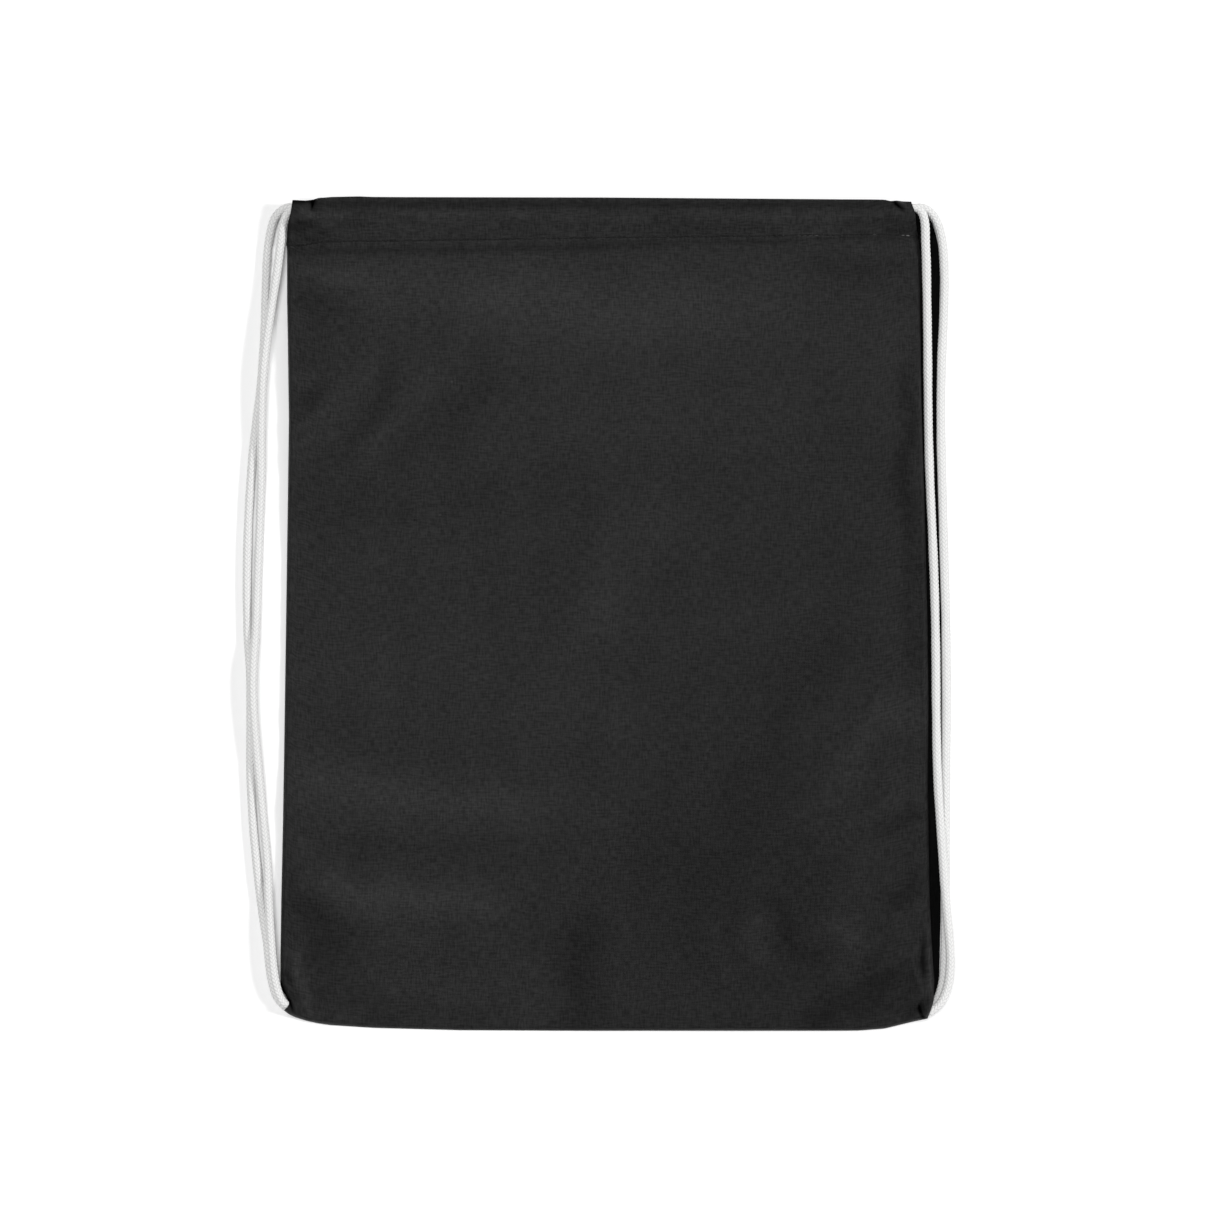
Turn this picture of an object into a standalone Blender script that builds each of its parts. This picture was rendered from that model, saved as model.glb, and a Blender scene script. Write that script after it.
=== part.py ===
"""Drawstring backpack of black cotton, empty, lying flat on its back.

Frame: metres. +X is the bag's right side as seen from above, +Y points to the mouth and +Z
points up, away from the surface that the bag lies on. The origin is under the middle of the
bag, on that surface. Plan outlines and routes below are in millimetres.
"""

import bpy
import bmesh
from mathutils import Vector

MM = 0.001

# ---- driving dimensions, in millimetres ------------------------------------------------------
BAG_LENGTH = 458.0          # from the bottom fold to the top of the mouth
CLOTH = 0.8                 # one layer of cotton with its hem allowance
GAP = 0.3                   # clearance between pieces that touch
CORD = 5.0                  # diameter of the braided cord
CHANNEL_DEPTH = 22.5        # from the mouth's edge to the channel's stitch row
CHANNEL_HEIGHT = 7.0        # outer height of one channel with its two cords inside
CHANNEL_LEFT = -175.0       # left opening of both channels
CHANNEL_RIGHT = 167.0       # right opening of both channels
SLIT_LEFT = 16.0            # how far the channels' facing walls stop short of the left openings
SLIT_RIGHT = 30.0           # the same at the right openings
SEAM_WIDTH = 8.0            # turned-in seam allowance
FOLD_WIDTH = 2.6            # the cloth that turns at the bottom
PULL_OUT = 30.0             # length of cord that lies spare in each channel's end
BIGHT_REACH = 7.0           # how far a bight's legs run into the slit before they turn

# ---- levels that follow from them ------------------------------------------------------------
TOP = BAG_LENGTH / 2
BACK_TOP = CLOTH
FRONT_BASE = CHANNEL_HEIGHT + GAP
FRONT_TOP = FRONT_BASE + CLOTH
BACK_LANE_Z = CHANNEL_HEIGHT / 2
FRONT_LANE_Z = FRONT_BASE + CHANNEL_HEIGHT / 2
CHANNEL_FLOOR = TOP - CHANNEL_DEPTH
UPPER_LANE = TOP - CLOTH - CORD / 2 - 0.4
LOWER_LANE = UPPER_LANE - CORD - 0.7
TAIL = PULL_OUT + 10.0      # straight end of a strand inside its channel

# ---- plan outlines, in millimetres, anticlockwise from the bottom left -------------------------
BOTTOM_EDGE = [(-166, -224.6), (-152, -226.8), (-130, -228.2), (-82, -228.8), (-19, -229), (49, -229),
               (125, -228.9), (151, -227.6), (163, -225)]
FRONT_RIGHT_EDGE = [(173, -219.5), (177, -212), (178.6, -203), (176.2, -157), (175, -91), (175.2, -47),
                    (174.4, 8), (172.8, 63), (171.2, 118), (170.5, 173), (168.8, 200), (167, 205.8)]
BACK_RIGHT_EDGE = [(173, -219.8), (177.5, -212), (180, -203), (180.6, -184), (180.9, -151), (181, -118),
                   (181, -47), (180.7, -3), (179.6, 40), (178.6, 96), (178.4, 120), (179, 145),
                   (179.8, 178), (175.5, 197), (168.5, 205.8)]
LEFT_EDGE = [(-175, 205.8), (-176.2, 173), (-175.6, 107), (-176.8, 63), (-177.6, 8), (-179.4, -74),
             (-181, -157), (-180.2, -190), (-179, -204), (-176, -212), (-174.4, -219)]

# ---- routes of the cords' strands, in millimetres, from the channel's end to the bottom tack ----
LEFT_FRONT_ROUTE = [(-166, 225.3, 10.8), (-172.4, 223.6, 10.8), (-177.2, 219, 10.7), (-179.6, 212.5, 10.3),
                    (-180.8, 203, 9.4), (-182.6, 189, 8.4), (-185.2, 172, 7.9), (-188.4, 150, 7.8),
                    (-190.6, 127, 7.7), (-191.4, 101, 6.6), (-191.6, 79, 4.6), (-192.4, 54, 3.0),
                    (-193.6, 22, 3.0), (-194.5, -8, 5.0), (-195.8, -30, 7.7), (-195.8, -48, 7.8),
                    (-194.4, -69, 7.1), (-192.2, -94, 5.2), (-190.2, -116, 3.6), (-188.4, -136, 3.8),
                    (-187.4, -157, 6.2), (-186, -179, 7.7), (-184.4, -197, 7.9), (-181.2, -210, 7.8)]
LEFT_BACK_ROUTE = [(-168, 225.3, 3.5), (-174.5, 224.9, 3.4), (-180.2, 222.6, 3.1), (-184.4, 217.4, 2.8),
                   (-186.8, 209, 2.6), (-188.4, 196, 2.5), (-189.4, 173, 2.5), (-190.1, 150, 2.5),
                   (-192, 125, 2.5), (-195, 101, 2.5), (-197.2, 78, 2.5), (-198.8, 52, 2.5),
                   (-199.6, 19, 2.5), (-199.2, -9, 2.5), (-197.8, -31, 2.5), (-197.6, -58, 2.5),
                   (-197.6, -85, 2.5), (-196.4, -113, 2.5), (-194.4, -135, 2.5), (-191.7, -159, 2.5),
                   (-188.6, -180, 2.5), (-186, -200, 2.5), (-181.2, -213, 2.5)]
RIGHT_FRONT_ROUTE = [(147, 219.6, 10.8), (152.5, 220.6, 10.8), (158, 222.6, 10.8), (163.5, 224, 10.8),
                     (168.2, 223.2, 10.8), (171.3, 219.6, 10.8), (172.7, 213.6, 10.6), (173, 204.5, 9.9),
                     (173.5, 194, 8.7), (173.9, 178, 6.8), (174.4, 153, 4.8),
                     (174.7, 122, 3.9), (175.1, 96, 3.7), (175.9, 70, 3.7), (177.1, 44, 3.7),
                     (178.3, 13, 3.7), (179, -20, 3.7), (179.2, -50, 3.9), (179.6, -79, 5.2),
                     (180.5, -102, 6.9), (182.3, -129, 7.8), (184.3, -157, 7.9), (186.4, -181, 7.9),
                     (186.6, -194, 7.9), (185, -205, 7.9), (181, -213.6, 7.8)]
RIGHT_BACK_ROUTE = [(147, 219.6, 3.5), (152.5, 220.6, 3.5), (158, 222.6, 3.5), (164, 224.1, 3.5),
                    (170, 224.2, 3.4), (175.4, 221.6, 3.2), (179.4, 216.2, 3.0), (181.9, 208.6, 2.8),
                    (183.2, 199, 2.6), (183.7, 188, 2.5), (183.8, 177, 2.5), (183.2, 160, 2.5),
                    (182.3, 140, 2.5), (181.9, 118, 2.5), (182, 96, 2.5), (182.8, 63, 2.5),
                    (183.7, 30, 2.5), (184.6, -3, 2.5), (185, -47, 2.5), (184.6, -85, 2.5),
                    (184.4, -118, 2.5), (184.3, -151, 2.5), (184.1, -184, 2.5), (183.2, -200, 2.5),
                    (180.4, -212.6, 2.5)]

# ---- colours, RGB in linear light --------------------------------------------------------------
BLACK_COTTON = (0.026, 0.026, 0.028)
BLACK_THREAD = (0.02, 0.02, 0.022)
WHITE_COTTON = (0.78, 0.78, 0.77)


def remove_everything():
    for obj in list(bpy.data.objects):
        bpy.data.objects.remove(obj, do_unlink=True)


def fabric(name, colour, roughness):
    material = bpy.data.materials.new(name)
    material.use_nodes = True
    shader = material.node_tree.nodes["Principled BSDF"]
    shader.inputs["Base Color"].default_value = (*colour, 1.0)
    shader.inputs["Roughness"].default_value = roughness
    shader.inputs["Metallic"].default_value = 0.0
    return material


def add_object(name, data, material, parent):
    obj = bpy.data.objects.new(name, data)
    data.materials.append(material)
    bpy.context.collection.objects.link(obj)
    obj.parent = parent
    if parent is not None:
        obj.matrix_parent_inverse = parent.matrix_world.inverted()
    return obj


def pivot(name, x, y, z):
    """An empty that stands on a joint's axis and carries that joint's pieces."""
    empty = bpy.data.objects.new(name, None)
    empty.location = Vector((x, y, z)) * MM
    bpy.context.collection.objects.link(empty)
    bpy.context.view_layer.update()
    return empty


def slab(name, outline, low, high, material, parent=None):
    """A flat piece: a plan outline with its height from low to high."""
    bm = bmesh.new()
    corners = [bm.verts.new(Vector((x, y, low)) * MM) for x, y in outline]
    base = bm.faces.new(corners)
    extruded = bmesh.ops.extrude_face_region(bm, geom=[base])
    lifted = [v for v in extruded["geom"] if isinstance(v, bmesh.types.BMVert)]
    bmesh.ops.translate(bm, verts=lifted, vec=(0, 0, (high - low) * MM))
    bmesh.ops.recalc_face_normals(bm, faces=bm.faces)
    mesh = bpy.data.meshes.new(name)
    bm.to_mesh(mesh)
    bm.free()
    return add_object(name, mesh, material, parent)


def box(name, low, high, material, parent=None):
    outline = [(low[0], low[1]), (high[0], low[1]), (high[0], high[1]), (low[0], high[1])]
    return slab(name, outline, low[2], high[2], material, parent)


def cut(target, name, low, high, material):
    """Takes a box away from a piece."""
    cutter = box(name, low, high, material)
    cutter.hide_render = True
    cutter.display_type = "WIRE"
    modifier = target.modifiers.new(name, "BOOLEAN")
    modifier.operation = "DIFFERENCE"
    modifier.solver = "EXACT"
    modifier.object = cutter


def smooth_route(route, spacing):
    """Points at an even spacing on the smooth curve through a route's points."""
    knots = [Vector(p) for p in route]
    knots = [knots[0] * 2 - knots[1]] + knots + [knots[-1] * 2 - knots[-2]]
    fine = []
    for before, a, b, after in zip(knots, knots[1:], knots[2:], knots[3:]):
        for step in range(24):
            t = step / 24
            fine.append(0.5 * (2 * a + (b - before) * t + (2 * before - 5 * a + 4 * b - after) * t * t
                               + (3 * a - before - 3 * b + after) * t ** 3))
    fine.append(knots[-2])
    length = sum((b - a).length for a, b in zip(fine, fine[1:]))
    count = max(2, round(length / spacing))
    even = [fine[0]]
    walked = 0.0
    for a, b in zip(fine, fine[1:]):
        piece = (b - a).length
        while piece > 0 and walked + piece >= length * len(even) / count and len(even) < count:
            even.append(a.lerp(b, (length * len(even) / count - walked) / piece))
        walked += piece
    even.append(fine[-1])
    return even


def cord(name, route, material, parent, spacing=2.5 * CORD):
    """A round cord along a smooth route, with flat ends."""
    points = smooth_route(route, spacing)
    curve = bpy.data.curves.new(name, "CURVE")
    curve.dimensions = "3D"
    curve.bevel_depth = CORD / 2 * MM
    curve.bevel_resolution = 2
    curve.resolution_u = 1
    curve.use_fill_caps = True
    spline = curve.splines.new("POLY")
    spline.points.add(len(points) - 1)
    for slot, point in zip(spline.points, points):
        slot.co = (*(point * MM), 1.0)
    return add_object(name, curve, material, parent)


def channel(name, base, slit_low, slit_high, cloth, parent):
    """A hem tunnel along the mouth. Its wall that faces the other tunnel stops short of each end."""
    tunnel = box(name, (CHANNEL_LEFT, CHANNEL_FLOOR, base), (CHANNEL_RIGHT, TOP, base + CHANNEL_HEIGHT),
                 cloth, parent)
    inside_low = (CHANNEL_LEFT - SLIT_LEFT, CHANNEL_FLOOR + CLOTH, base + CLOTH)
    inside_high = (CHANNEL_RIGHT + SLIT_RIGHT, TOP - CLOTH, base + CHANNEL_HEIGHT - CLOTH)
    cut(tunnel, name + "_hollow", inside_low, inside_high, cloth)
    for side, low, high in (("left", CHANNEL_LEFT - SLIT_LEFT, CHANNEL_LEFT + SLIT_LEFT),
                            ("right", CHANNEL_RIGHT - SLIT_RIGHT, CHANNEL_RIGHT + SLIT_RIGHT)):
        cut(tunnel, f"{name}_{side}_slit", (low, CHANNEL_FLOOR + CLOTH, slit_low),
            (high, TOP - CLOTH, slit_high), cloth)
    return tunnel


def raised(points, lift):
    return [(x, y + lift) for x, y in points]


def moved(points, step):
    return [(x + step, y) for x, y in points]


def panels(cloth, front_pivot):
    """The two faces of the bag, each a flat plate from its channel down to the bottom fold."""
    inner_bottom = raised(BOTTOM_EDGE, FOLD_WIDTH + GAP)
    slab("back_panel", inner_bottom + BACK_RIGHT_EDGE + LEFT_EDGE, 0, BACK_TOP, cloth)
    slab("front_panel", raised(BOTTOM_EDGE, FOLD_WIDTH + 3 * GAP) + FRONT_RIGHT_EDGE + LEFT_EDGE,
         FRONT_BASE, FRONT_TOP, cloth, front_pivot)
    slab("bottom_fold", BOTTOM_EDGE + list(reversed(raised(BOTTOM_EDGE, FOLD_WIDTH))), 0, FRONT_TOP, cloth)


def side_seams(cloth, thread):
    """The seam allowances, turned in between the panels, with the thread over their raw edges."""
    low = BACK_TOP + GAP
    high = FRONT_BASE - GAP
    for side, edge, inward in (("left", LEFT_EDGE[1:-3], 1), ("right", FRONT_RIGHT_EDGE[2:-1], -1)):
        outer = moved(edge, inward)
        inner = moved(edge, inward * (1 + SEAM_WIDTH))
        slab(f"{side}_side_seam", outer + list(reversed(inner)), low, high, cloth)
        near = moved(inner, inward * GAP)
        far = moved(inner, inward * (GAP + 1.2))
        slab(f"{side}_seam_overlock", near + list(reversed(far)), low + 1.5, high - 1.5, thread)


def stitch_rows(thread, front_pivot):
    """The stitch row under each channel: outside on the front panel, inside on the back panel."""
    row_high = CHANNEL_FLOOR - 2 * GAP
    row_low = row_high - 0.6
    left = CHANNEL_LEFT + 3
    right = CHANNEL_RIGHT - 3
    for name, base, parent in (("back_channel_stitches", BACK_TOP + GAP, None),
                               ("front_channel_stitches", FRONT_TOP + GAP, front_pivot)):
        box(name, (left, row_low, base), (right, row_high, base + 0.5), thread, parent)


def bottom_tacks(thread):
    """The dense stitching that holds both strands of a cord in the side seam's bottom corner."""
    low = BACK_TOP + GAP
    high = FRONT_BASE - GAP
    slab("left_bottom_tack", [(-176.4, -219), (-168, -221), (-168, -208), (-176, -211.5)], low, high, thread)
    slab("right_bottom_tack", [(170, -220.5), (174.5, -217.5), (177.6, -210), (170, -207)], low, high, thread)


def tail(route):
    """The straight end of a strand inside its channel, before the route's first point."""
    x, y, z = route[0]
    inward = 1 if x < 0 else -1
    opening = CHANNEL_LEFT if x < 0 else CHANNEL_RIGHT
    inner_end = opening + inward * TAIL
    return [(inner_end, y, z), ((inner_end + x) / 2, y, z)]


def bight(name, side_x, inward, slit, lane, cotton):
    """The cord's turn at the slit: out of the back channel and back into the front channel."""
    leg = side_x + inward * slit
    turn = side_x + inward * (slit - BIGHT_REACH)
    middle = (BACK_LANE_Z + FRONT_LANE_Z) / 2
    reach = turn - inward * (FRONT_LANE_Z - BACK_LANE_Z) / 2
    route = [(leg, lane, BACK_LANE_Z), (turn, lane, BACK_LANE_Z), (reach, lane, middle),
             (turn, lane, FRONT_LANE_Z), (leg, lane, FRONT_LANE_Z)]
    return cord(name, route, cotton, None, spacing=2.2)


def cords(cotton, front_pivot):
    sides = (("left", CHANNEL_LEFT, CHANNEL_RIGHT, UPPER_LANE, LEFT_FRONT_ROUTE, LEFT_BACK_ROUTE),
             ("right", CHANNEL_RIGHT, CHANNEL_LEFT, LOWER_LANE, RIGHT_FRONT_ROUTE, RIGHT_BACK_ROUTE))
    for side, near, far, lane, front_route, back_route in sides:
        inward = 1 if near < far else -1
        slit = SLIT_RIGHT if far > near else SLIT_LEFT
        slide = pivot(f"{side}_cord_pull", near, lane, BACK_LANE_Z)
        cord(f"{side}_front_strand", tail(front_route) + front_route, cotton, slide)
        cord(f"{side}_back_strand", tail(back_route) + back_route, cotton, slide)
        run_near = near + inward * (TAIL + GAP)
        run_far = far - inward * (slit + GAP)
        half_way = (run_near + run_far) / 2
        for face, z, parent in (("back", BACK_LANE_Z, None), ("front", FRONT_LANE_Z, front_pivot)):
            run = [(run_near, lane, z), (half_way, lane, z), (run_far, lane, z)]
            cord(f"{side}_{face}_run", run, cotton, parent, spacing=8 * CORD)
        bight(f"{side}_cord_bight", far, -inward, slit, lane, cotton)


def main():
    remove_everything()
    cloth = fabric("black_cotton", BLACK_COTTON, 0.9)
    thread = fabric("black_thread", BLACK_THREAD, 0.8)
    cotton = fabric("white_cotton_braid", WHITE_COTTON, 0.85)
    front_pivot = pivot("mouth_open", 0, -BAG_LENGTH / 2 + FOLD_WIDTH / 2, (FRONT_BASE + FRONT_TOP) / 2)
    panels(cloth, front_pivot)
    channel("back_channel", 0, CHANNEL_HEIGHT - 2 * CLOTH, CHANNEL_HEIGHT + CLOTH, cloth, None)
    channel("front_channel", FRONT_BASE, FRONT_BASE - CLOTH, FRONT_BASE + 2 * CLOTH, cloth, front_pivot)
    side_seams(cloth, thread)
    stitch_rows(thread, front_pivot)
    bottom_tacks(thread)
    cords(cotton, front_pivot)


main()
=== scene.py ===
"""Looks of an empty drawstring backpack of black cotton that lies flat, with white braided cords.

The cloth is two thin closed sheets with real hem tunnels, the cords are braided tubes, and the
thread is laid stitch by stitch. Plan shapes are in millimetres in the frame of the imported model:
+X to the bag's right, +Y to the mouth, +Z up from the floor.
"""
import math

import bpy
import bmesh
import numpy as np
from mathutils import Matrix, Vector


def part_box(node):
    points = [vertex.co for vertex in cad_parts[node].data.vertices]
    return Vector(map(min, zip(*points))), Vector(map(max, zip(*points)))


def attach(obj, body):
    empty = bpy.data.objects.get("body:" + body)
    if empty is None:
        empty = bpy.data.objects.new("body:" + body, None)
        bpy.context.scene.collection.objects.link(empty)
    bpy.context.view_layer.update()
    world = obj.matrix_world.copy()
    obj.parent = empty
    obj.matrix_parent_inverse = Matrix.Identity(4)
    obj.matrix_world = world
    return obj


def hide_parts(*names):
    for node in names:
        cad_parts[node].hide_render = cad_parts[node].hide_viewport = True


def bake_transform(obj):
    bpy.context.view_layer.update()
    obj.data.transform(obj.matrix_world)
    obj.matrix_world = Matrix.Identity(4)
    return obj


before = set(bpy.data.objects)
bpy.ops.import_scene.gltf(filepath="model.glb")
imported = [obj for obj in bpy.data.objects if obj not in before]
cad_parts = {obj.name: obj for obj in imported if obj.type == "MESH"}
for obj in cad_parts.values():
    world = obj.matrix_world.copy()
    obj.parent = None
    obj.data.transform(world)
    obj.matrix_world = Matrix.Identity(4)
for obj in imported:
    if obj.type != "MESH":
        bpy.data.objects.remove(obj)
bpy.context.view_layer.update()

MM = 0.001


def frame_mm(node):
    """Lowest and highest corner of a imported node, in millimetres."""
    low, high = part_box(node)
    return np.array(low) / MM, np.array(high) / MM


# ---- places that come from the frame, in millimetres ----
FRONT_LOW, FRONT_HIGH = frame_mm("front_channel")
BACK_LOW, BACK_HIGH = frame_mm("back_channel")
CHANNEL_LEFT, CHANNEL_RIGHT = FRONT_LOW[0], FRONT_HIGH[0]
TOP = FRONT_HIGH[1]
BOTTOM = frame_mm("bottom_fold")[0][1]
STITCH_Y = FRONT_LOW[1] + 0.4
MIDDLE_X = (CHANNEL_LEFT + CHANNEL_RIGHT) / 2
BACK_LANE_Z = (BACK_LOW[2] + BACK_HIGH[2]) / 2
FRONT_LANE_Z = (FRONT_LOW[2] + FRONT_HIGH[2]) / 2

# ---- driving sizes, in millimetres ----
CLOTH = 0.5  # thickness of the cotton
CORD = 5.0  # diameter of the cord
PLAIT = 0.46  # how far a plait stands out of the cord's core
BRAID_LAY = 18.0  # a plait goes once round its cord over this length
UPPER_LANE = TOP - 3.7  # the left cord's line in both tunnels
LOWER_LANE = TOP - 9.4  # the right cord's line in both tunnels
TAIL = 40.0  # a strand's straight end inside its tunnel
TAIL_GAP = 0.3  # between a strand's end and the run that goes on from it
SLIT_LEFT = 24.0  # the right cord's hidden turn starts this far inside the left openings
SLIT_RIGHT = 40.0  # the left cord's starts this far inside the right openings
BIGHT_REACH = 7.0  # how far a hidden turn reaches back toward the openings
STITCH_PITCH = 3.2  # one stitch and its gap
PALE_FROM = 96.0  # the stitches to the left of this x stay dark
PALEST_AT = (109.0, 164.0)  # the palest places of the row
FRONT_GRID = 345.0, 1.5, 0.25  # width, and the widest and narrowest gap of the front sheet's grid
BACK_GRID = 350.0, 3.0, 0.3  # the same for the back sheet
GRID_GROWTH = 1.09  # each gap of a grid against the last, from the edges inwards
ROW_LEFT, ROW_RIGHT = 202.0, 207.4  # where the stitch row meets the side edges
CREASE_DEPTH = 1.3  # multiplies every crease's height
PAINTED_SHADING_DEPTH = 0.8  # multiplies every broad patch of painted light and shade

# ---- driving sizes in metres, and the light ----
YARN = 0.00052  # from one yarn to the next
CORD_AROUND = 0.0157  # girth of a cord
AMBIENT = 0.36  # light from all round
KEY_POWER = 1.4  # a low lamp from the bag's right
SOFTBOX_POWER = 1.78  # a broad soft light from nearly overhead

# ---- the sheets' outlines: side edges upwards, the other two from left to right ----
LEFT_EDGE = [
    (-179, -217.2), (-177.2, -215.6), (-175.8, -213.4), (-178.6, -209), (-181.2, -205), (-181.3, -190),
    (-180.8, -157), (-179.9, -115), (-179.2, -74), (-178, 8), (-177.2, 63), (-176.6, 107), (-177.2, 150),
    (-177.6, 173), (-177.6, 195), (-177.4, 205), (-176.8, 212), (-174.8, 220.4), (-173.8, 227),
]
RIGHT_EDGE = [
    (174.3, -222), (175.7, -217.7), (177.9, -211.6), (178.5, -206), (178.6, -200.7), (177.6, -190),
    (176.9, -178.7), (176, -157), (175, -91), (175.4, -47), (174.6, 8), (173, 63), (171.3, 118),
    (170.7, 173), (170.9, 188), (170.8, 196), (169.9, 203.5), (168.5, 209), (167.4, 216.6), (166.8, 220.7),
    (164.9, 226.1),
]
BACK_RIGHT_EDGE = [
    (174, -221.8), (176, -217.5), (179, -211), (181, -203), (181.8, -168), (182, -118), (182.5, -47),
    (182.3, -3), (181.4, 30), (180.5, 63), (179.7, 96), (179.7, 118), (180.2, 142), (181, 160),
    (181.4, 176), (181.6, 190), (181.0, 200), (179.4, 208), (176.8, 215), (172, 221), (166, 225.6),
]
BOTTOM_LINE = [
    (-179, -217.2), (-176, -219.8), (-172.9, -221.5), (-167, -223.5), (-161, -224.8), (-153.7, -225.9),
    (-130, -227.4), (-82, -228.7), (-19, -229), (49, -229), (125, -229), (137, -228.9), (151, -227.8),
    (158.5, -226), (166.8, -223.9), (174.3, -222),
]
TOP_LINE = [
    (-173.8, 227), (-166.4, 226.7), (-162, 227.3), (-160.3, 228), (-152.6, 228.7), (-137.5, 229),
    (-129.8, 228.7), (-112.5, 228.6), (-5, 228.4), (126, 227.4), (145, 227.3), (150.5, 227.2), (154, 226.3),
    (155.6, 226.7), (160, 226.3), (164.9, 226.1),
]

# ---- routes of the strands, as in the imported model, from the tunnel to the bottom corner ----
LEFT_FRONT_ROUTE = [
    (-150, 225.2, 10.8), (-166, 223.3, 10.8), (-172.4, 223.2, 10.5), (-177.2, 219, 9.8),
    (-179.6, 212.5, 8.8), (-180.8, 203, 8.0), (-182.6, 189, 7.7), (-185.2, 172, 7.7), (-188.4, 150, 7.8),
    (-190.6, 127, 7.7), (-191.4, 101, 6.6), (-191.6, 79, 4.6), (-192.4, 54, 3.0), (-193.6, 22, 3.0),
    (-194.5, -8, 5.0), (-195.8, -30, 7.7), (-195.8, -48, 7.8), (-194.4, -69, 7.1), (-192.2, -94, 5.2),
    (-190.2, -116, 3.6), (-188.4, -136, 3.8), (-187.4, -157, 6.2), (-186, -179, 7.7), (-184.4, -197, 7.7),
    (-182.2, -207, 7.4), (-179.4, -212.6, 6.9), (-175.5, -215.6, 6.5),
]
LEFT_BACK_ROUTE = [
    (-150, 224.8, 3.5), (-168, 223.0, 3.5), (-174.5, 224, 3.4), (-180.2, 222.2, 3.1), (-184.4, 217.4, 2.8),
    (-186.8, 209, 2.6), (-188.4, 196, 2.5), (-189.4, 173, 2.5), (-190.1, 150, 2.5), (-192, 125, 2.5),
    (-195, 101, 2.5), (-197.2, 78, 2.5), (-198.8, 52, 2.5), (-199.6, 19, 2.5), (-199.2, -9, 2.5),
    (-197.8, -31, 2.5), (-197.6, -58, 2.5), (-197.6, -85, 2.5), (-196.4, -113, 2.5), (-194.4, -135, 2.5),
    (-191.7, -159, 2.5), (-188.6, -180, 2.5), (-186.4, -198, 2.5), (-183.8, -208.6, 2.5), (-180, -214, 2.5),
    (-175.5, -217.4, 2.6),
]
RIGHT_FRONT_ROUTE = [
    (147, 218.9, 10.8), (152.5, 219.6, 10.8), (158, 221.1, 10.8), (163.5, 222.4, 10.8),
    (168.2, 222.7, 10.8), (171.3, 219.6, 10.8), (172.7, 213.6, 10.6), (173, 204.5, 9.9), (173.5, 194, 8.7),
    (173.9, 178, 6.8), (174.4, 153, 4.8), (174.7, 122, 3.9), (175.1, 96, 3.7), (175.9, 70, 3.7),
    (177.1, 44, 3.7), (178.3, 13, 3.7), (179, -20, 3.7), (179.2, -50, 3.9), (179.6, -79, 5.2),
    (180.5, -102, 6.9), (182.3, -129, 7.8), (184.3, -157, 7.9), (186.4, -181, 7.9), (186.6, -194, 7.8),
    (185, -205, 7.6), (181, -213.6, 7.2), (175, -218.6, 6.6),
]
RIGHT_BACK_ROUTE = [
    (147, 218.5, 3.5), (152.5, 219.2, 3.5), (158, 220.7, 3.5), (164, 222.2, 3.5), (170, 223.6, 3.4),
    (175.4, 221.6, 3.2), (179.4, 216.2, 3.0), (181.9, 208.6, 2.8), (183.2, 199, 2.6), (183.7, 188, 2.5),
    (183.8, 177, 2.5), (183.2, 160, 2.5), (182.3, 140, 2.5), (181.9, 118, 2.5), (182, 96, 2.5),
    (182.8, 63, 2.5), (183.7, 30, 2.5), (184.6, -3, 2.5), (185, -47, 2.5), (184.6, -85, 2.5),
    (184.4, -118, 2.5), (184.3, -151, 2.5), (184.1, -184, 2.5), (183.2, -200, 2.5), (180, -211.5, 2.5),
    (174.5, -217.4, 2.6),
]

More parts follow.
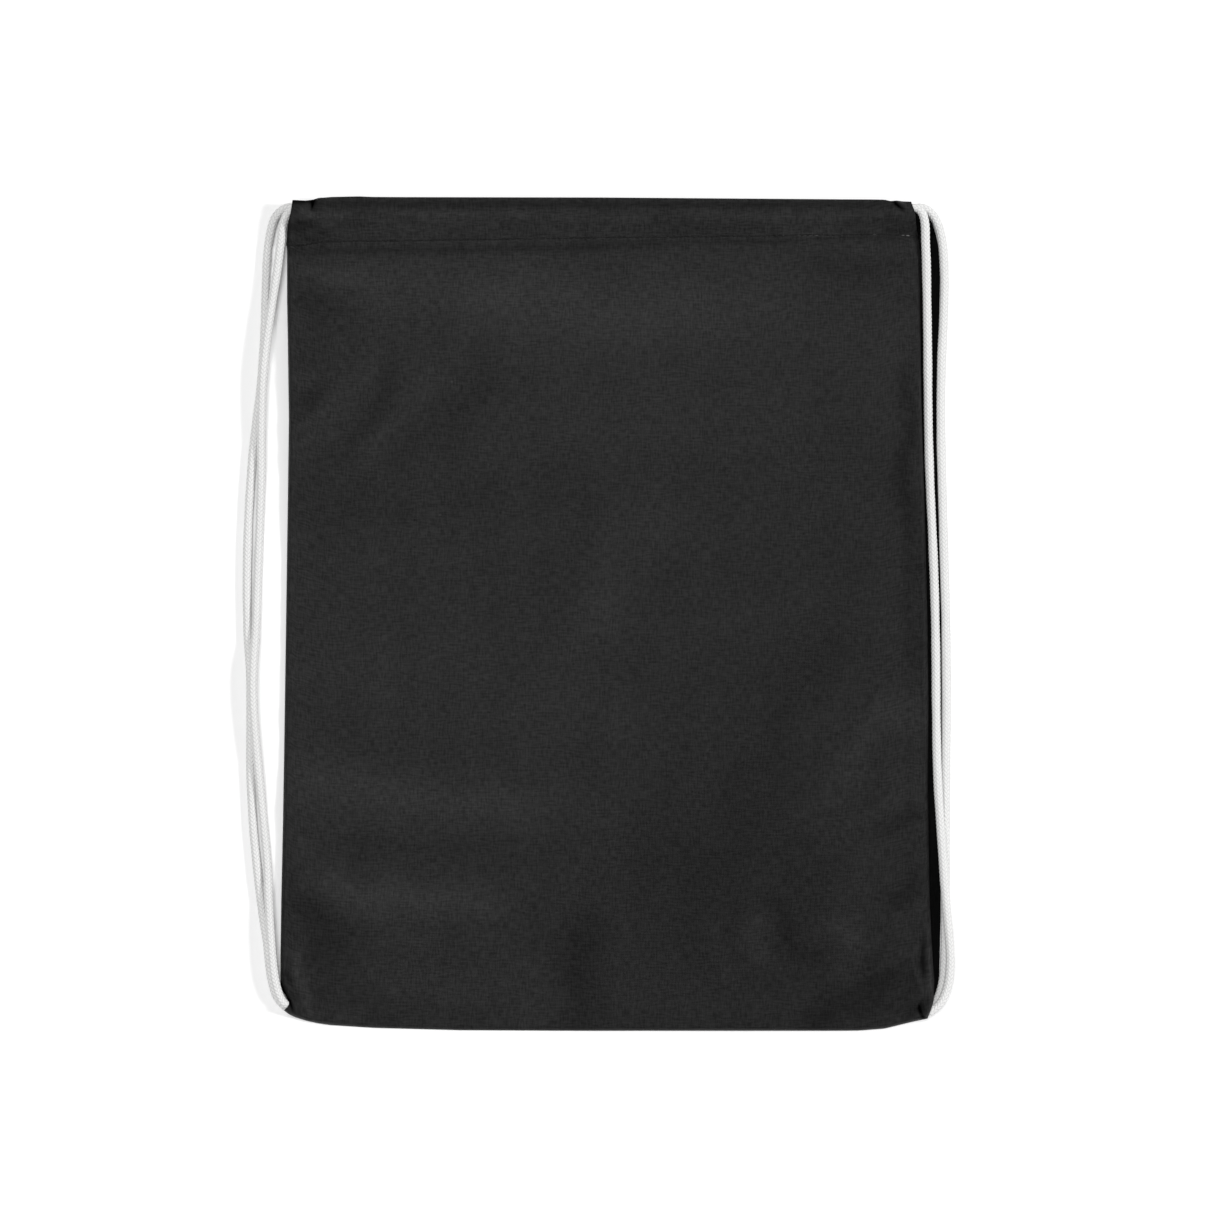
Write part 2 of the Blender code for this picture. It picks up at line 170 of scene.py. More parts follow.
# ---- creases of the front sheet: from x, y to x, y, half width, height ----
CREASES = [
    # folds that fan out of the left bottom corner, where the cords enter
    (-172, -206, -150, -168, 4.0, 1.2), (-170, -214, -136, -196, 3.6, 0.9),
    (-168, -221, -128, -216, 3.5, 0.8), (-158, -148, -114, -186, 9.0, 1.0),
    (-180.5, -203, -173, -217, 1.1, -1.5), (-176, -204, -170, -212, 1.1, -0.8),
    # folds across the right bottom corner
    (172, -186, 112, -214, 5.5, 1.4), (176, -168, 138, -205, 5.5, 0.8), (174, -204, 148, -224, 3.2, 1.2),
    (172, -150, 150, -186, 7.0, 0.7), (169.8, -213.5, 171.6, -221, 1.2, -1.8),
    (168, -196, 172, -208, 2.0, 0.7), (172, -92, 116, -128, 7.0, 1.2), (166, -70, 112, -118, 7.0, 0.6),
    (150, -200, 128, -170, 7.0, 0.6), (124, -196, 104, -172, 8.0, 0.6),
    # slanting folds below the left end of the channel
    (-142, 84, -100, 137, 10.0, 0.9), (-104, 88, -54, 146, 11.0, 0.9), (-177, 84, -150, 112, 4.0, 0.6),
    (-177, 100, -152, 124, 3.6, 0.6), (-177, 128, -150, 142, 4.0, 0.6), (-178, 56, -146, 78, 5.0, 0.5),
    # folds across the lower left
    (-174, -108, -34, -117, 12.0, 1.3), (-162, -160, -62, -168, 9.0, 1.5), (-176, -52, -90, -62, 12.0, 0.7),
    (-60, -184, -90, -200, 7.0, 0.5),
    # the middle and the right
    (2, 66, -22, -12, 15.0, 0.9), (20, -20, -4, -92, 15.0, 0.8), (96, -10, 76, -92, 16.0, 1.1),
    (70, -92, 50, -150, 16.0, 0.8), (-2, -168, -4, -228, 13.0, 1.4), (60, -176, 66, -226, 11.0, 0.7),
    (171, 130, 172, 30, 12.0, 1.3), (172.5, 76, 173.5, -90, 1.8, 0.4), (104, 186, 168, 172, 7.0, -0.8),
    (128, 196, 166, 189, 3.0, 0.6), (-20, 150, 60, 160, 16.0, 0.6),
    # small puckers at the ends of the channel
    (156.5, 227, 163.5, 222.2, 1.3, 1.5), (158, 216, 165, 208, 1.8, 0.8),
    (-158.6, 229, -159.6, 219, 1.3, 1.5), (-171, 226, -168, 214, 1.6, 0.8),
    (-175, 214, -162, 219, 1.8, 0.8), (-175, 209, -158, 212, 1.6, -0.6), (-150, 222, -128, 214, 2.6, 0.5),
    (-118, 221, -96, 216, 3.0, 0.4), (140, 222, 126, 212, 2.6, 0.5), (-60, 220, -30, 215, 3.0, 0.35),
    (40, 216, 70, 221, 3.0, 0.35), (-176, 194, -150, 198, 2.6, 0.5), (-176, 180, -140, 186, 4.0, 0.4),
    (-176, 168, -136, 156, 8.0, -0.7),
]

# ---- painted light (positive) and painted shade (negative) on the front sheet: from x, y to x, y, half width, amount ----
PAINTED_SHADING_PATCHES = [
    # painted light: the left half a little paler than the right
    (-120, 200, -110, -200, 80.0, 0.10), (150, 20, 150, -230, 60.0, -0.05),
    # pale band under the stitch row, broken at its left end
    (-150, 185, -40, 178, 14.0, 0.30), (-70, 176, 110, 174, 22.0, 0.36), (-172, 187, -130, 187, 4.0, 0.30),
    (-171, 174, -145, 171, 7.0, -0.14), (-60, 130, 120, 120, 45.0, 0.16), (100, 150, 165, 140, 30.0, 0.06),
    # slanting stripes at the upper left
    (-153, 86, -112, 150, 7.0, -0.20), (-116, 80, -56, 150, 11.0, -0.19), (-162, 96, -128, 144, 6.0, 0.14),
    (-132, 88, -88, 144, 8.0, 0.14), (-174, 128, -150, 134, 4.0, 0.24), (-172, 104, -152, 112, 3.0, 0.28),
    (-176, 92, -160, 100, 2.5, 0.28), (-174, 116, -156, 122, 2.5, -0.22), (-172, 60, -40, 64, 14.0, -0.10),
    # pale streak in the middle
    (-14, -12, 20, 68, 18.0, 0.20), (-40, -30, 10, -60, 24.0, 0.12),
    # pale stripes at the lower left
    (-184, -86, -18, -104, 11.0, 0.30), (-164, -147, -56, -157, 8.0, 0.36),
    (-124, -176, -82, -170, 5.0, 0.20), (-176, -30, -60, -20, 16.0, 0.08),
    (-170, -66, -60, -70, 8.0, -0.06), (-156, -122, -40, -132, 8.0, -0.10),
    (-177, -50, -120, -54, 9.0, -0.10), (-176, -148, -138, -200, 10.0, -0.34),
    (-168, -206, -60, -218, 9.0, -0.20), (-130, -200, -60, -205, 9.0, 0.08),
    # darker lower right
    (60, -110, 90, -240, 75.0, -0.26), (126, -2, 78, -98, 20.0, -0.16), (82, -84, 62, -120, 16.0, -0.12),
    (60, -40, 40, -140, 32.0, -0.06), (167, -44, 112, -116, 10.0, 0.28), (170, -90, 126, -128, 6.0, 0.16),
    (168, -106, 150, -118, 6.0, -0.26), (173, -144, 156, -160, 7.0, -0.34),
    (150, -124, 136, -150, 5.0, 0.12), (84, -156, 121, -194, 5.0, -0.24), (80, -170, 90, -198, 7.0, 0.24),
    (120, -164, 138, -184, 7.0, 0.28), (58, -166, 64, -202, 7.0, 0.14), (108, -226, 178, -186, 10.0, -0.36),
    (160, -222, 174, -206, 6.0, -0.20), (-16, -166, -16, -238, 13.0, -0.28), (4, -196, 4, -226, 6.0, -0.10),
    (30, -200, 60, -216, 14.0, 0.12),
    # dark strip beside the right edge
    (165, 128, 166, 30, 6.0, -0.34), (168, 30, 169, -60, 5.0, -0.16), (112, 194, 150, 186, 4.0, -0.22),
    (150, 196, 172, 190, 4.0, -0.16),
    # pale and dark places on the tunnel
    (-180, 213, -60, 215, 5.0, 0.10), (-80, 214, 180, 215, 5.5, 0.16), (98, 215, 130, 213, 5.0, 0.16),
    (-172, 212, -150, 211, 3.0, -0.30), (20, 211, 90, 211, 3.0, -0.18), (-80, 210, -30, 211, 3.0, -0.12),
]

# ---- narrow places: painted shade in creases and along seams, and painted highlights on the ridges beside them ----
PAINTED_CREASE_SHADE_AND_HIGHLIGHTS = [
    (-260, 225.6, 255, 225.2, 2.2, -0.32), (-180, 199.0, 66, 204.4, 2.5, -0.34),
    (60, 204.6, 116, 205.4, 1.5, -0.25), (100, 206.6, 190, 206.9, 1.2, -0.25),
    (-166, 219, -140, 219.5, 1.4, 0.40), (-120, 219.5, -40, 220, 1.2, 0.20), (-20, 218, 40, 217, 1.4, 0.15),
    (60, 219, 150, 218, 1.6, 0.15),
    # beside the openings of the tunnel
    (-162.2, 229, -162.8, 220, 0.9, -0.95), (-166, 226, -168, 220, 2.0, 0.35),
    (-176, 227, -160, 226.6, 1.3, -0.60), (-174.3, 226, -176.8, 202, 1.1, -0.60),
    (-173, 216, -162, 213, 1.4, -0.40), (-172, 208, -158, 205, 1.5, -0.35),
    (153, 229, 161.4, 220.6, 0.8, -0.95), (157, 227, 165, 224, 1.6, 0.25),
    # the pinched bottom corners
    (-182, -200, -175.4, -212.8, 1.1, -0.95), (-176, -211, -173, -218.5, 0.8, -0.95),
    (-171, -186, -171.5, -206, 2.2, 0.50), (-168, -198, -163, -222, 2.0, 0.40),
    (-178, -196, -174, -203, 2.0, -0.45), (169.6, -214, 171, -220, 1.2, -0.95),
    (171, -220.4, 174.6, -222.2, 0.9, -0.95), (172, -178, 173, -202, 1.6, -0.55),
    (176.4, -170, 176.6, -214, 1.4, 0.45), (166, -186, 170, -204, 1.6, 0.22),
    (174.6, 100, 175.6, -110, 1.1, 0.45),
]


# ---- curves ----
def smooth_points(route, per_span=12):
    """Points on the smooth curve through a list of route points."""
    knots = np.array(route, float)
    knots = np.vstack([2 * knots[0] - knots[1], knots, 2 * knots[-1] - knots[-2]])
    found = []
    for before, a, b, after in zip(knots, knots[1:], knots[2:], knots[3:]):
        for t in np.arange(per_span) / per_span:
            found.append(0.5 * (2 * a + (b - before) * t + (2 * before - 5 * a + 4 * b - after) * t ** 2
                                + (3 * a - before - 3 * b + after) * t ** 3))
    found.append(knots[-2])
    return np.array(found)


def even_points(points, step):
    """The same line with its points at an even spacing, and the distance along it at each."""
    lengths = np.linalg.norm(np.diff(points, axis=0), axis=1)
    walked = np.concatenate([[0], np.cumsum(lengths)])
    even = np.linspace(0, walked[-1], max(3, int(round(walked[-1] / step)) + 1))
    return np.stack([np.interp(even, walked, points[:, k]) for k in range(points.shape[1])], 1), even


def edge_curve(points, along, across, places):
    """A single-valued edge line through its points, its corners eased over about a millimetre."""
    points = np.array(points, float)
    fine = np.arange(points[0, along], points[-1, along] + 0.1, 0.2)
    value = np.interp(fine, points[:, along], points[:, across])
    reach = np.arange(-12, 13)
    kernel = np.exp(-(reach / 4.5) ** 2)
    padded = np.pad(value, 12, mode="reflect", reflect_type="odd")
    eased = np.convolve(padded, kernel / kernel.sum(), mode="valid")
    return np.interp(places, fine, eased)


def edge_x(edge, y):
    """x of a side edge at height y."""
    return edge_curve(edge, 1, 0, y)


def line_y(line, x):
    """y of the bottom or top line at x."""
    return edge_curve(line, 0, 1, x)


def smoothstep(low, high, value):
    """0 below low, 1 above high, and an S-curve between them."""
    t = np.clip((value - low) / (high - low), 0, 1)
    return t * t * (3 - 2 * t)


def waves(x, y, wavelength, seed, count=9):
    """Soft irregular swell between -1 and 1, made of a few plane waves in seeded directions."""
    draw = np.random.default_rng(seed)
    total = np.zeros_like(x)
    for _ in range(count):
        angle = draw.uniform(0, 2 * math.pi)
        turn = 2 * math.pi / (wavelength * draw.uniform(0.7, 1.5))
        along = x * math.cos(angle) + y * math.sin(angle)
        total += np.sin(along * turn + draw.uniform(0, 2 * math.pi))
    return total / math.sqrt(count)


# ---- mesh helpers ----
def mesh_object(name, verts, faces, uvs=None, uv_name="Cloth"):
    """A new object from vertices in millimetres. uvs holds one pair per vertex."""
    mesh = bpy.data.meshes.new(name)
    mesh.from_pydata((np.asarray(verts) * MM).tolist(), [], faces)
    mesh.update()
    if uvs is not None:
        layer = mesh.uv_layers.new(name=uv_name)
        corners = np.zeros(len(mesh.loops), int)
        mesh.loops.foreach_get("vertex_index", corners)
        layer.data.foreach_set("uv", np.asarray(uvs, np.float32)[corners].ravel())
    mesh.shade_smooth()
    obj = bpy.data.objects.new(name, mesh)
    bpy.context.scene.collection.objects.link(obj)
    return obj


def grid_faces(rows, columns, wrap=False, flip=False):
    """Quads of a grid of rows by columns, closed around its columns if wrap."""
    faces = []
    last = columns if wrap else columns - 1
    for i in range(rows - 1):
        for j in range(last):
            k = (j + 1) % columns
            quad = (i * columns + j, i * columns + k, (i + 1) * columns + k, (i + 1) * columns + j)
            faces.append(quad[::-1] if flip else quad)
    return faces


def finish_piece(obj, material, slot, *replaced):
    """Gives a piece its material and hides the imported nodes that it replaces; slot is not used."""
    obj.data.materials.append(material)
    if replaced:
        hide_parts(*replaced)
    return obj


# ---- material helpers ----
class Nodes:
    """Short calls for building a node tree."""

    def __init__(self, name):
        self.material = bpy.data.materials.new(name)
        self.material.use_nodes = True
        self.tree = self.material.node_tree
        self.shader = self.tree.nodes["Principled BSDF"]

    def link(self, source, socket):
        if isinstance(source, (int, float, tuple)):
            socket.default_value = source
        else:
            self.tree.links.new(source, socket)

    def node(self, kind, output=0, settings=None, **inputs):
        made = self.tree.nodes.new(kind)
        for key, value in (settings or {}).items():
            setattr(made, key, value)
        for key, value in inputs.items():
            index = int(key[1:]) if key[0] == "i" and key[1:].isdigit() else key.replace("_", " ")
            self.link(value, made.inputs[index])
        return made.outputs[output]

    def math(self, operation, a, b=0.0, clamp=False):
        return self.node("ShaderNodeMath", settings={"operation": operation, "use_clamp": clamp}, i0=a, i1=b)

    def times(self, a, b):
        return self.math("MULTIPLY", a, b)

    def attribute(self, name):
        """A value that the mesh stores at each vertex."""
        return self.node("ShaderNodeAttribute", 2, settings={"attribute_name": name})

    def scaled(self, vector, scale):
        return self.node("ShaderNodeMapping", Vector=vector, Scale=scale)

    def noise(self, vector, scale, detail=2.0):
        """Noise stretched by its three scales, in features per metre."""
        return self.node("ShaderNodeTexNoise", settings={"noise_dimensions": "3D"},
                         Vector=self.scaled(vector, scale), Scale=1.0, Detail=detail)

    def ramp(self, value, low, high, to_low=0.0, to_high=1.0):
        return self.node("ShaderNodeMapRange", Value=value, From_Min=low, From_Max=high,
                         To_Min=to_low, To_Max=to_high)

    def mix(self, share, first, second):
        """Colour between two colours."""
        return self.node("ShaderNodeMix", 2, settings={"data_type": "RGBA"}, i0=share, i6=first, i7=second)

    def yarn_arches(self, flat, axis):
        """0 between two yarns and 1 on top of each, along one axis of the cloth."""
        place = self.node("ShaderNodeSeparateXYZ", axis, Vector=flat)
        return self.math("ABSOLUTE", self.math("SINE", self.times(place, math.pi / YARN)))

    def set(self, **sockets):
        for key, value in sockets.items():
            self.link(value, self.shader.inputs[key.replace("_", " ")])


def shade(base, red, blue=None):
    """A darker or paler colour; blue may take a factor of its own."""
    return (base[0] * red, base[1] * red, base[2] * (red if blue is None else blue), 1.0)


def cotton_cloth(name, base, light, shine):
    """Plain-weave cotton: uneven warp and weft yarns, dark neps, pale lint, knuckles as relief.

    light is the sheen's weight, and shine the gloss, which the painted light and shade scale along with the
    colour.
    """
    n = Nodes(name)
    flat = n.node("ShaderNodeUVMap", settings={"uv_map": "Cloth"})
    warp = n.noise(flat, (1150.0, 190.0, 1.0), 2.0)
    weft = n.noise(flat, (180.0, 1050.0, 1.0), 2.0)
    mottle = n.noise(flat, (26.0, 20.0, 1.0), 4.0)
    grain = n.noise(flat, (900.0, 900.0, 1.0), 1.0)
    yarns = n.math("ADD", n.times(warp, 0.5), n.times(weft, 0.5))
    tone = n.math("ADD", n.ramp(yarns, 0.38, 0.62, 0.40, 1.60), n.ramp(mottle, 0.35, 0.65, -0.05, 0.05))
    tone = n.times(tone, n.ramp(grain, 0.3, 0.7, 0.92, 1.08))
    cells = n.scaled(flat, (150.0, 210.0, 1.0))
    near = n.node("ShaderNodeTexVoronoi", 0, Vector=cells, Scale=1.0)
    chosen = n.node("ShaderNodeTexVoronoi", 1, Vector=cells, Scale=1.0)
    pick = n.node("ShaderNodeSeparateColor", 0, Color=chosen)
    spot = n.ramp(near, 0.07, 0.16, 1.0, 0.0)
    nep = n.times(spot, n.math("GREATER_THAN", pick, 0.86))
    lint = n.times(spot, n.math("LESS_THAN", pick, 0.035))
    tone = n.times(tone, n.math("SUBTRACT", 1.0, n.times(nep, 0.62)))
    tone = n.math("ADD", tone, n.times(lint, 0.8))
    across, along = n.yarn_arches(flat, 0), n.yarn_arches(flat, 1)
    knuckle = n.math("POWER", n.times(across, along), 0.6)
    # painted shade between the yarns and painted highlight on the knuckles, on top of their relief
    tone = n.times(tone, n.ramp(knuckle, 0.0, 0.8, 0.72, 1.06))
    # painted light and shade: a per-vertex factor on the mesh scales the colour and the gloss
    painted_shading = n.attribute("painted_shading")
    painted_shading = n.math("MAXIMUM", n.math("ADD", 1.0, painted_shading), 0.0)
    tone = n.times(tone, painted_shading)
    palest = 3.2
    colour = n.mix(n.ramp(tone, 0.0, palest), (0.0, 0.0, 0.0, 1.0), shade(base, palest))
    height = n.math("ADD", knuckle, n.times(yarns, 1.6))
    n.set(Base_Color=colour, Roughness=n.ramp(yarns, 0.3, 0.7, 0.52, 0.64),
          Specular_IOR_Level=n.times(painted_shading, shine), Sheen_Weight=light,
          Sheen_Roughness=0.5, Sheen_Tint=(0.8, 0.8, 0.8, 1.0),
          Normal=n.node("ShaderNodeBump", Strength=0.55, Distance=0.00016, Height=height))
    return n.material


def spun_thread(name, base):
    """Spun sewing thread, paler on some stitches."""
    n = Nodes(name)
    place = n.node("ShaderNodeTexCoord", 3)
    fuzz = n.noise(place, (2600.0, 1600.0, 2600.0), 3.0)
    paleness = n.attribute("paleness")
    dyed = n.mix(fuzz, shade(base, 0.6), shade(base, 1.4))
    n.set(Base_Color=n.mix(paleness, dyed, (0.42, 0.42, 0.41, 1.0)), Roughness=0.7, Specular_IOR_Level=0.12,
          Normal=n.node("ShaderNodeBump", Strength=0.4, Distance=0.0001, Height=fuzz))
    return n.material


def braided_cotton(name, base):
    """Soft white cotton: fibres along the braid, and painted shade that greys it where the plaits dip."""
    n = Nodes(name)
    braid = n.node("ShaderNodeUVMap", settings={"uv_map": "Braid"})
    fibres = n.noise(braid, (9000.0, 900.0, 1.0), 3.0)
    patches = n.noise(braid, (160.0, 45.0, 1.0), 2.0)
    dip = n.attribute("relief")
    # painted shade: the colour greys where the plaits dip between each other
    tone = n.times(n.ramp(dip, 0.25, 0.85, 0.58, 1.0), n.ramp(fibres, 0.3, 0.7, 0.94, 1.02))
    tone = n.math("MULTIPLY", tone, n.ramp(patches, 0.3, 0.7, 0.97, 1.02), clamp=True)
    n.set(Base_Color=n.mix(tone, shade(base, 0.3, 0.32), (*base, 1.0)), Roughness=0.88,
          Specular_IOR_Level=0.2, Sheen_Weight=0.15, Sheen_Roughness=0.5,
          Normal=n.node("ShaderNodeBump", Strength=0.35, Distance=0.00012, Height=fibres))
    return n.material


# ---- the cords ----
def braid_relief(around, along):
    """Height, 0 to 1, of a braid of eight plaits each way, each over two and under two.

    around is 0 to 1 once round the cord, and along is in millimetres.
    """
    plaits = 8
    left = plaits * (around + along / BRAID_LAY)
    right = plaits * (around - along / BRAID_LAY)
    i, j = np.floor(left), np.floor(right)
    profile_left = np.sqrt(np.clip(1 - (2 * (left - i) - 1) ** 2, 0, 1))
    profile_right = np.sqrt(np.clip(1 - (2 * (right - j) - 1) ** 2, 0, 1))
    over_left = 0.5 + 0.5 * np.cos(math.pi / 2 * ((right + i) % 4 - 1))
    over_right = 0.5 + 0.5 * np.cos(math.pi / 2 * ((left + j) % 4 - 3))
    return np.maximum(over_left * profile_left, over_right * profile_right)


def cord_mesh(name, route, material, sides=60, step=0.34, braided=True):
    """A closed tube along a smooth route in millimetres, with its braid in relief.

    Returns the piece, and its centre line and length in metres.
    """
    centres, walked = even_points(smooth_points(route), step)
    along = np.gradient(centres, axis=0)
    along /= np.linalg.norm(along, axis=1)[:, None]
    side = np.zeros_like(centres)
    direction = np.cross(along[0], [0, 0, 1.0])
    for k, tangent in enumerate(along):
        direction = direction - tangent * direction.dot(tangent)
        direction /= np.linalg.norm(direction)
        side[k] = direction
    up = np.cross(side, along)
    around = np.arange(sides) / sides
    turn, distance = np.meshgrid(around, walked)
    relief = braid_relief(turn, distance) if braided else np.full(turn.shape, 0.7)
    swell = 1 + 0.02 * np.sin(distance / 9.0) + 0.015 * np.sin(distance / 4.1 + 1.3)
    core = CORD / 2 - 0.5
    radius = (core + PLAIT * relief) * swell if braided else np.full(turn.shape, CORD / 2)
    angle = 2 * math.pi * turn
    verts = (centres[:, None, :] + (radius * np.cos(angle))[..., None] * side[:, None, :]
             + (radius * np.sin(angle))[..., None] * up[:, None, :])
    rows = len(centres)
    faces = grid_faces(rows, sides, wrap=True)
    first, last = rows * sides, rows * sides + 1
    faces += [(first, (j + 1) % sides, j) for j in range(sides)]
    base = (rows - 1) * sides
    faces += [(last, base + j, base + (j + 1) % sides) for j in range(sides)]
    verts = np.vstack([verts.reshape(-1, 3), centres[0], centres[-1]])
    uvs = np.stack([turn.ravel() * CORD_AROUND, distance.ravel() * MM], 1)
    uvs = np.vstack([uvs, [[0, 0], [0, walked[-1] * MM]]])
    obj = mesh_object(name, verts, faces, uvs, "Braid")
    attribute = obj.data.attributes.new("relief", "FLOAT", "POINT")
    attribute.data.foreach_set("value", np.append(relief.ravel(), [0.5, 0.5]).astype(np.float32))
    finish_piece(obj, material, "white_cord")
    return obj, centres * MM, walked[-1] * MM


def hidden_cord(name, route, material, replaced):
    """A stretch of cord inside the tunnels, where no braid can be seen."""
    obj, path, length = cord_mesh(name, route, material, sides=20, step=1.6, braided=False)
    if replaced:
        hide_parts(*replaced)
    return obj


def lift_left(obj):
    """Applies the piece's placement to its mesh."""
    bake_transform(obj)


def lift_right(obj):
    """The same for a right part."""
    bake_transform(obj)


def tube(centres, radius, sides=6):
    """Vertices and faces of a closed tube along points in millimetres; radius may vary."""
    centres = np.asarray(centres, float)
    along = np.gradient(centres, axis=0)
    along /= np.linalg.norm(along, axis=1)[:, None] + 1e-9
    lean = np.where(np.abs(along[:, 2:3]) > 0.8, [[1.0, 0, 0]], [[0, 0, 1.0]])
    side = np.cross(along, lean)
    side /= np.linalg.norm(side, axis=1)[:, None] + 1e-9
    up = np.cross(side, along)
    angle = np.arange(sides) * 2 * math.pi / sides
    radius = np.broadcast_to(radius, len(centres))
    verts = (centres[:, None] + radius[:, None, None] * (np.cos(angle)[None, :, None] * side[:, None]
                                                         + np.sin(angle)[None, :, None] * up[:, None]))
    rows = len(centres)
    faces = grid_faces(rows, sides, wrap=True)
    faces += [tuple(range(sides))[::-1], tuple((rows - 1) * sides + j for j in range(sides))]
    return verts.reshape(-1, 3), faces


def joined(parts):
    """One vertex list and one face list from several."""
    verts, faces, base = [], [], 0
    for some_verts, some_faces in parts:
        verts.append(some_verts)
        faces += [tuple(i + base for i in face) for face in some_faces]
        base += len(some_verts)
    return np.vstack(verts), faces


def stitches(line, rise, seed):
    """Separate stitches along a line of points: each dives into the cloth at both ends."""
    pitch = STITCH_PITCH
    draw = np.random.default_rng(seed)
    points, walked = even_points(line, 0.2)
    parts = []
    for start in np.arange(1.0, walked[-1] - pitch, pitch):
        long = pitch * draw.uniform(0.62, 0.74)
        t = np.linspace(0, 1, 7)
        run = np.stack([np.interp(start + t * long, walked, points[:, k]) for k in range(3)], 1)
        run[:, 1] += draw.uniform(-0.12, 0.12) + draw.uniform(-0.15, 0.15) * (t - 0.5)
        run[:, 2] += rise * np.sin(math.pi * t) ** 0.6 - 0.12
        parts.append(tube(run, 0.17 + 0.08 * np.sin(math.pi * t), 6))
    return parts


def stitch_paleness(parts, seed):
    """How pale each stitch is, per vertex: most of all near two places to the right."""
    draw = np.random.default_rng(seed)
    values = []
    for verts, _ in parts:
        x = verts[:, 0].mean()
        near = sum(0.9 * math.exp(-((x - place) / 4) ** 2) for place in PALEST_AT)
        paled = draw.random() < 0.35 + near and x > PALE_FROM
        values.append(np.full(len(verts), draw.uniform(0.05, 0.12 + 0.3 * near) if paled else 0.0))
    return np.concatenate(values)


def thread_object(name, parts, material, *replaced):
    """One piece of thread from its tubes."""
    verts, faces = joined(parts)
    obj = mesh_object(name, verts, faces)
    paleness = obj.data.attributes.new("paleness", "FLOAT", "POINT")
    paleness.data.foreach_set("value", stitch_paleness(parts, 12).astype(np.float32))
    return finish_piece(obj, material, "black_thread", *replaced)


def make_rows(material, front_line):
    """The stitch rows that close the two tunnels; the front one is in two halves."""
    left_part = front_line[front_line[:, 0] < MIDDLE_X]
    right_part = front_line[front_line[:, 0] > MIDDLE_X]
    lift_left(thread_object("front_row_thread_left", stitches(left_part, 0.32, 3), material,
                            "front_channel_stitches"))
    lift_right(thread_object("front_row_thread_right", stitches(right_part, 0.32, 4), material))
    back_x = np.linspace(CHANNEL_LEFT + 2, CHANNEL_RIGHT - 2, 60)
    back_line = np.array([(x, STITCH_Y, 1.25) for x in back_x])
    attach(thread_object("back_row_thread", stitches(back_line, 0.3, 5), material,
                          "back_channel_stitches"), "bag_back")


def make_seam_allowance(side, edge, inward, material):
    """The two raw edges of a side seam, turned into the bag and slightly wavy."""
    y = np.arange(-200.0, 203.0, 1.0)
    x = edge_x(edge, y) + inward * 1.2
    ripple = 0.10 * np.sin(y / 3.1) + 0.15 * np.sin(y / 17.0)
    section = [(0, 0.75), (7.6, 0.80), (7.9, 1.25), (7.6, 1.72), (4, 1.80), (0, 1.70)]
    rings = np.stack([np.stack([x + inward * across, y, high + ripple * across / 8], -1)
                      for across, high in section], 1)
    count = len(section)
    faces = grid_faces(len(y), count, wrap=True, flip=inward < 0)
    faces += [tuple(range(count))[::-inward],
              tuple((len(y) - 1) * count + j for j in range(count))[::inward]]
    verts = rings.reshape(-1, 3)
    strip = mesh_object(f"{side}_seam_allowance", verts, faces, verts[:, :2] * MM)
    finish_piece(strip, material, "black_cotton", f"{side}_side_seam")
    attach(strip, "bag_back")


def make_overlock(side, edge, inward, material):
    """The thread that goes to and fro over the raw edges of a side seam."""
    y = np.arange(-199.0, 202.0, 0.5)
    phase = np.floor((y + 199.0) / 0.5).astype(int) % 4
    x = edge_x(edge, y) + inward * np.array([5.6, 8.0, 9.5, 8.0])[phase]
    z = np.array([2.05, 2.1, 1.3, 0.62])[phase] + 0.1 * np.sin(y / 3.1)
    thread = tube(np.stack([x, y, z], -1), 0.2, 5)
    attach(thread_object(f"{side}_overlock_thread", [thread], material, f"{side}_seam_overlock"),
            "bag_back")


def make_tack(side, x, y, inward, material):
    """Seven turns of thread that hold both strands in a bottom corner."""
    turn = np.linspace(0, 2 * math.pi, 25)[:-1]
    wound = np.vstack([np.stack([np.full(24, x + inward * 0.45 * k) + 0.3 * np.cos(turn),
                                 y + 2.6 * np.cos(turn), 2.6 + 1.7 * np.sin(turn)], -1)
                       for k in range(7)])
    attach(thread_object(f"{side}_corner_tack_thread", [tube(wound, 0.22, 5)], material,
                          f"{side}_bottom_tack"), "bag_back")


def make_thread(black_thread, cloth, front_line):
    """Stitch rows, side seams with their overlock, and corner tacks."""
    make_rows(black_thread, front_line)
    for side, edge, inward in (("left", LEFT_EDGE, 1), ("right", RIGHT_EDGE, -1)):
        make_seam_allowance(side, edge, inward, cloth)
        make_overlock(side, edge, inward, black_thread)
    for side, x, y, inward in (("left", -171.5, -218, 1), ("right", 170.5, -217.5, -1)):
        make_tack(side, x, y, inward, black_thread)


def lane_y(x, upper, drop):
    """A cord's line in a tunnel: clear of the mouth's edge, and the lower cord clear of the upper."""
    high = min(UPPER_LANE, float(line_y(TOP_LINE, x)) - 3.5 - drop)
    return high if upper else min(LOWER_LANE, high - 5.1)


def lane_points(first, last, upper, drop, z):
    """Nine points of a cord's line in a tunnel."""
    return [(x, lane_y(x, upper, drop), z) for x in np.linspace(first, last, 9)]


def make_strands(side, near, inward, routes, material):
    """The two strands beside the bag, from inside the tunnels to the bottom corner."""
    tail_end = near + inward * TAIL
    for face, route in zip(("front", "back"), routes):
        x, y, z = route[0]
        whole = [(tail_end, y, z), ((tail_end + x) / 2, y, z)] + route
        strand, path, length = cord_mesh(f"{side}_{face}_strand_cord", whole, material)
        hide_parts(f"{side}_{face}_strand")
        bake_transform(strand)


